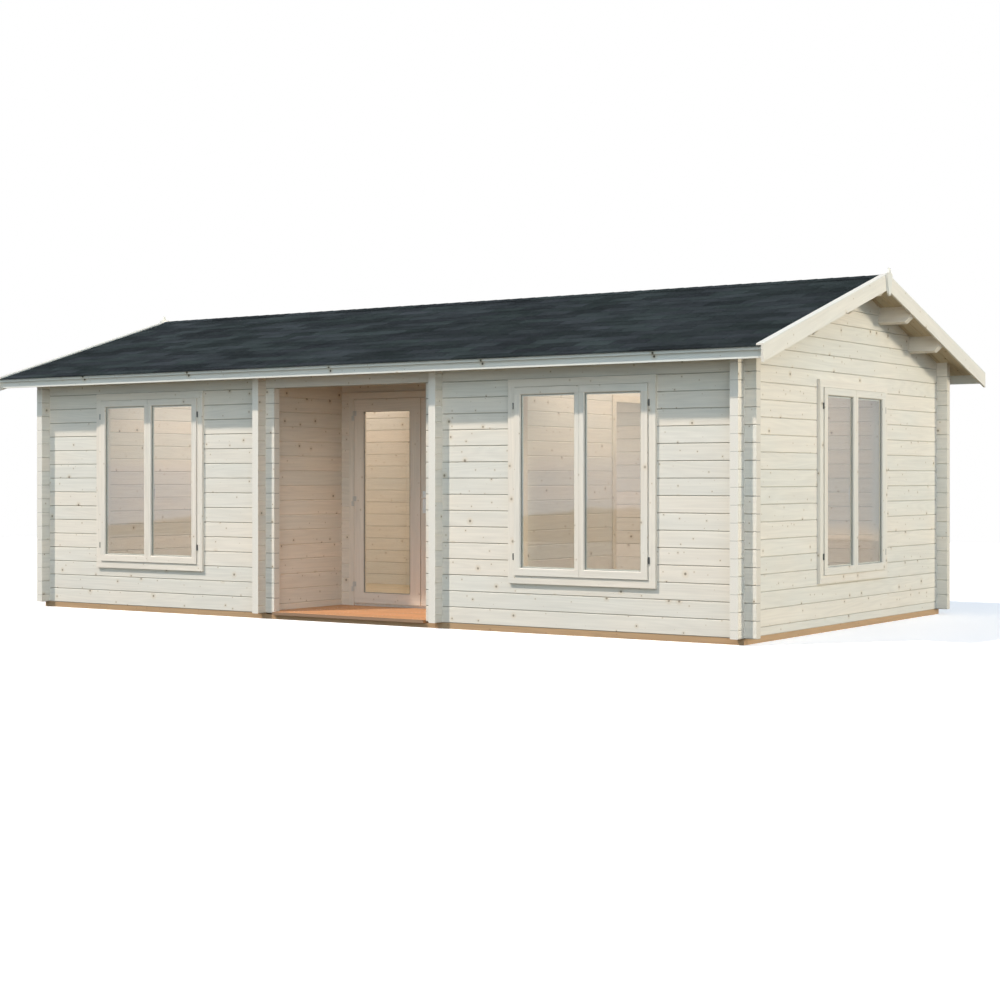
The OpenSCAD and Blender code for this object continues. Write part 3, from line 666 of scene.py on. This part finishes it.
def ridge_caps(made):
    """Felt caps bent over the ridge; each ends a step above the next."""
    count = 57
    reach = 0.125
    end = STRIP_X - FELT_IN
    step = 2 * end / count
    # A cap's points on each slope, as shares of its reach
    shares = (1.0, 0.5, 0.12)
    piece = Piece("ridge_caps")
    for i in range(count):
        x0 = -end + i * step
        rings = []
        # Underside and top over the covering, at a cap's lower end and at its upper end
        for x, low, high in ((x0, 0.0036, 0.0062), (x0 + step, 0.0058, 0.0088)):
            skins = []
            for height, spread in ((COVER_HIGH + high, reach), (COVER_HIGH + low, reach - 0.0004)):
                front = [on_slope(-1, x, spread * share, height) for share in shares]
                back = [on_slope(1, x, spread * share, height) for share in reversed(shares)]
                skins.append(front + back)
            rings.append(skins[0] + skins[1][::-1])
        piece.bar(*rings)
    piece.place(made, "roofing")


def roof_planks(side, name, node, made):
    """Tongued boards from ridge to eave, with a small V along each joint on the visible underside."""
    edge = BOARDS_EDGE / math.cos(PITCH)
    gap = 0.0004
    vee = 0.004
    piece = Piece(name)
    for i in range(PLANK_COUNT):
        x0 = -ROOF_X + i * PLANK_W + gap / 2
        x1 = x0 + PLANK_W - gap
        profile = [(x0, BOARDS_HIGH), (x1, BOARDS_HIGH), (x1, BOARDS_LOW + vee), (x1 - vee, BOARDS_LOW),
                   (x0 + vee, BOARDS_LOW), (x0, BOARDS_LOW + vee)]
        piece.bar(*[[on_slope(side, x, run, height) for x, height in profile] for run in (gap, edge)])
    piece.place(made, "boards", (node,))


def deck_board():
    """Front edge, width with the gap, and top of the deck boards."""
    low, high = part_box("deck_planks")
    return low[1], (high[1] + DECK_GAP - low[1]) / DECK_COUNT, high[2]


def deck_screws(made):
    """Countersunk screw heads in pairs over the deck joists, each with its recess."""
    # Radius and height over the deck, from under the head to the foot of the recess
    profile = ((0.0045, -0.002), (0.0045, 0.0002), (0.0040, 0.0005), (0.0018, 0.0005), (0.0015, -0.0006))
    # Where the two screws of a pair stand, as shares of a board's width
    shares = (0.22, 0.76)
    front, pitch, top = deck_board()
    piece = Piece("deck_screws")
    for board in range(DECK_COUNT):
        for joist in range(DECK_JOISTS):
            # The screws stray a little from the joist's middle
            x = -PORCH_HALF + (joist + 0.5) * 2 * PORCH_HALF / DECK_JOISTS
            x += 0.004 * math.sin(board * 3 + joist * 5)
            for share in shares:
                y = front + board * pitch + (pitch - DECK_GAP) * share
                piece.bar(*[[(x + radius * c, y + radius * s, top + rise) for c, s in circle(12)]
                            for radius, rise in profile])
    piece.place(made, "metal")


def rectangle(x0, z0, x1, z1, inset):
    """The corners of a rectangle, each moved inwards."""
    x0, z0, x1, z1 = x0 + inset, z0 + inset, x1 - inset, z1 - inset
    return [(x0, z0), (x1, z0), (x1, z1), (x0, z1)]


def frame_bar(piece, edges, depth0, depth1, width, place):
    """Four mitred bars just inside a rectangle, with a bevel towards depth0.

    edges is x0, z0, x1, z1, and place turns x, y, z into the part's frame."""
    outer = rectangle(*edges, 0)
    inner = rectangle(*edges, width)
    for i in range(4):
        rings = []
        for k in (i, (i + 1) % 4):
            (ox, oz), (ix, iz) = outer[k], inner[k]
            bevel = ((ox + 2 * ix) / 3, (oz + 2 * iz) / 3)
            rings.append([place(ox, depth0, oz), place(ox, depth1, oz), place(ix, depth1, iz),
                          place(bevel[0], depth0, bevel[1])])
        piece.bar(*rings)


# How a window's own x, y and z lie in the part's frame
PLACES = {
    "left": lambda x, y, z: (x - WINDOW_X, y - HALF_WIDTH, z),
    "right": lambda x, y, z: (x + WINDOW_X, y - HALF_WIDTH, z),
    "gable": lambda x, y, z: (HALF_LENGTH - y, x, z),
}


def window_trim(which, beads, dark):
    """Glazing beads inside and a thin seal outside, round both panes."""
    place = PLACES[which]
    front = SASH_FRONT + (SASH_T - GLASS_T) / 2
    back = front + GLASS_T
    bead = Piece("window_beads_" + which)
    seal = Piece("window_seals_" + which)
    for x0 in (-PANE_OUT, PANE_OUT - PANE_W):
        edges = (x0, PANE_LOW, x0 + PANE_W, PANE_HIGH)
        frame_bar(bead, edges, back + BEAD_T, back + HAIR, BEAD_W, place)
        # The grey seal is a real part, and its dark grey also paints the shade at the pane's edge
        frame_bar(seal, edges, front - SEAL_T, front - HAIR, SEAL_W, place)
    bead.place(beads, "joinery")
    seal.place(dark)


def window_catch(which, bright):
    """An oval plate, a pin and a hanging lever on the inside of the middle stile."""
    place = PLACES[which]
    back = SASH_FRONT + SASH_T
    x = 0.024
    middle = PANE_LOW + PANE_H * 0.45
    lever = middle - 0.045
    catch = Piece("window_catch_" + which)
    # Height of the centre; then half the width, half the height and the distance from the sash of each ring
    plate = (middle, (0.014, 0.036, 0.0), (0.014, 0.036, 0.005), (0.012, 0.034, 0.006))
    pin = (middle, (0.008, 0.008, 0.005), (0.007, 0.007, 0.030))
    grip = (lever, (0.0095, 0.062, 0.026), (0.011, 0.064, 0.032), (0.009, 0.060, 0.038))
    for z, *steps in (plate, pin, grip):
        catch.bar(*[[place(x + wide * c, back + out, z + tall * s) for c, s in circle(16)]
                    for wide, tall, out in steps])
    catch.place(bright, "metal")


def door_seals(dark):
    """A thin seal round each door pane, as deep as a glazing bead, that rides on its leaf."""
    for word in ("left", "right"):
        (x0, front, z0), (x1, _, z1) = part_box("door_glass_" + word)
        edges = (x0 + GLASS_GROOVE, z0 + GLASS_GROOVE, x1 - GLASS_GROOVE, z1 - GLASS_GROOVE)
        piece = Piece("door_seals_" + word)
        # The seal is a real part, and its dark grey also paints the shade in the pane's rebate
        frame_bar(piece, edges, front - BEAD_T, front - HAIR, SEAL_W, lambda x, y, z: (x, y, z))
        piece.place(dark, body="door_" + word)


def nail_heads(made):
    """Small nail heads in pairs along the barge boards."""
    # Distance from the board's face and radius, from under the head to its top
    profile = ((-0.002, 0.0035), (0.0004, 0.0035), (0.0008, 0.0022))
    # Distances of the pairs from the ridge along the slope, and heights of the two nails
    runs = [0.18 + i * 0.34 for i in range(7)]
    heights = (0.012, -0.062)
    piece = Piece("trim_nails")
    for side in (-1, 1):
        for end in (-1, 1):
            for run in runs:
                for height in heights:
                    x, y, z = on_slope(side, end * BARGE_X, run, height)
                    piece.bar(*[[(x + end * out, y + radius * c, z + radius * s) for c, s in circle(10)]
                                for out, radius in profile])
    piece.place(made, "metal")


def dress(table):
    for node, made in table.items():
        thing = NODES[node]
        thing.data.materials.clear()
        thing.data.materials.append(made)


def log_walls():
    whole = ("Z", FOOT_Z, LOG_H)
    half = ("Z", FOOT_Z - LOG_H / 2, LOG_H)
    long_mid = HALF_WIDTH - LOG_T / 2
    end_mid = HALF_LENGTH - LOG_T / 2
    porch_mid = PORCH_HALF + LOG_T / 2
    door_mid = PORCH_DEPTH - long_mid
    front = wood("logs_front", SPRUCE, "X", whole, seed=1.0, heart=-long_mid, joint=0.005, groove=0.62)
    back = wood("logs_back", SPRUCE, "X", whole, seed=2.0, heart=long_mid, joint=0.004)
    # The door wall and the porch's left wall take the painted warm shade of the porch
    door = wood("logs_door_wall", PORCH_SHADED, "X", whole, seed=3.0, heart=door_mid)
    left = wood("logs_gable_left", SPRUCE, "Y", half, seed=4.0, heart=-end_mid, joint=0.004, ends=LOG_ENDS)
    right = wood("logs_gable_right", SPRUCE, "Y", half, seed=5.0, heart=end_mid, joint=0.004, ends=LOG_ENDS)
    porch_left = wood("logs_porch_left", PORCH_SHADED, "Y", half, seed=6.0, heart=-porch_mid, ends=LOG_ENDS)
    porch_right = wood("logs_porch_right", SPRUCE, "Y", half, seed=7.0, heart=porch_mid, ends=LOG_ENDS)
    dress({
        "front_wall_left": front, "front_wall_right": front, "front_beam": front, "back_wall": back,
        "door_wall_left": door, "door_wall_right": door, "door_wall_head": door,
        "gable_wall_left": left, "gable_wall_right": right, "porch_wall_left": porch_left,
        "porch_wall_right": porch_right, "partition_rear": porch_right, "partition_head": porch_right,
    })


def joinery():
    casing_rails = (WINDOW_Z + CASING_W, WINDOW_Z + WINDOW_H - CASING_W)
    for which, axis, seed in (("left", "X", 11.0), ("right", "X", 12.0), ("gable", "Y", 13.0)):
        casing = wood("casing_" + which, JOINERY, rails=(*casing_rails, axis), seed=seed, knots=0.6)
        sash = wood("sash_" + which, JOINERY, rails=(PANE_LOW, PANE_HIGH, axis), seed=seed + 5.5, knots=0.6)
        dress({"window_frame_" + which: casing, "window_sashes_" + which: sash})
    leaf_rails = (LEAF_LOW + BOTTOM_RAIL, LEAF_HIGH - TOP_RAIL, "X")
    # The leaves and their frame take the painted warm shade of the porch
    leaf = wood("door_leaf", DOOR_SHADED, rails=leaf_rails, seed=21.0, knots=0.6)
    lining = wood("door_frame", DOOR_SHADED, rails=(0.0, LEAF_HIGH + LEAF_GAP, "X"), seed=22.0, knots=0.6)
    passage_rails = (0.0, FOOT_Z + PASSAGE_H, "Y")
    passage = wood("passage_frame", SPRUCE_INSIDE, rails=passage_rails, seed=23.0, knots=0.6)
    dress({
        "door_leaf_left": leaf, "door_leaf_right": leaf, "door_frame": lining, "passage_frame": passage,
    })


def roof():
    planks = wood("roof_planks", BOARDS_WITH_EAVE_SHADE, "Y", ("X", -ROOF_X, PLANK_W), slope=True, seed=31.0, contrast=1.3)
    shingle = felt("felt_shingles")
    for side, word in ((-1, "front"), (1, "back")):
        roof_planks(side, "roof_planks_" + word, "roof_boards_" + word, planks)
        shingles(side, "shingles_" + word, shingle)
        dress({"roof_boards_" + word: planks, "roofing_" + word: shingle})
    ridge_caps(shingle)
    # The fascia's colour carries painted shade
    fascia = wood("fascia", FASCIA_SHADED, "X", seed=41.0, knots=1.0, contrast=0.8)
    barge = wood("barge_boards", SPRUCE, "Y", slope=True, seed=42.0, knots=0.6, contrast=0.8)
    strips = wood("edge_strips", SPRUCE, "Y", slope=True, seed=43.0, knots=0.2, contrast=0.7)
    finial = wood("finials", SPRUCE, "Z", seed=44.0, knots=0.1)
    purlin = wood("purlins", SPRUCE, "X", seed=45.0, knots=0.5)
    dress({
        "fascia_boards": fascia, "barge_boards_left": barge, "barge_boards_right": barge,
        "edge_strips": strips, "finials": finial, "ridge_purlin": purlin, "side_purlins": purlin,
    })


def floors():
    rows = ("Y", 0.0, FLOOR_BOARD_W)
    floor = wood("floor_boards", BOARDS_WITH_EAVE_SHADE, "X", rows, seed=46.0, joint=0.0015, contrast=1.4)
    hall = wood("hall_boards", BOARDS_WITH_EAVE_SHADE, "X", rows, seed=47.0, joint=0.0015, contrast=1.4)
    joists = wood("joists", BOARDS_WITH_EAVE_SHADE, "Y", seed=48.0)
    front, pitch, _ = deck_board()
    deck = wood("deck", DECK, "X", ("Y", front, pitch), seed=49.0, contrast=2.6, knots=0.4, rough=0.55,
                joint=0.010, groove=0.7)
    base_x = wood("base_beams", BASE, "X", seed=50.0, contrast=1.6, knots=0.5)
    base_y = wood("base_cross_beams", BASE, "Y", seed=51.0, contrast=1.6, knots=0.5)
    dress({
        "room_floors": floor, "hall_floor": hall, "floor_joists": joists, "deck_planks": deck,
        "deck_joists": base_y, "base_beams": base_x, "base_cross_beams": base_y,
    })


def fittings():
    steel = metal("satin_steel", (0.87, 0.85, 0.83), 0.4)
    pale = metal("pale_hinges", (0.58, 0.55, 0.50), 0.5, 0.5)
    grey = metal("dark_hinges", (0.12, 0.12, 0.115), 0.45)
    dark = rubber("seal_rubber")
    pane = glass("clear_panes")
    for which, axis in (("left", "X"), ("right", "X"), ("gable", "Y")):
        rails = (PANE_LOW + BEAD_W, PANE_HIGH - BEAD_W, axis)
        beads = wood("beads_" + which, JOINERY, rails=rails, seed=60.0, knots=0.0)
        window_trim(which, beads, dark)
        window_catch(which, steel)
        dress({"window_glass_" + which: pane})
    dress({
        "door_glass_left": pane, "door_glass_right": pane, "door_handle": steel, "door_hinges": pale,
        "door_hinge_leaves_left": pale, "door_hinge_leaves_right": pale, "window_hinges": grey,
    })
    door_seals(dark)
    deck_screws(steel)
    nail_heads(steel)


bpy.context.scene.view_settings.view_transform = "Standard"
camera()
stage()
light()
log_walls()
joinery()
roof()
floors()
fittings()
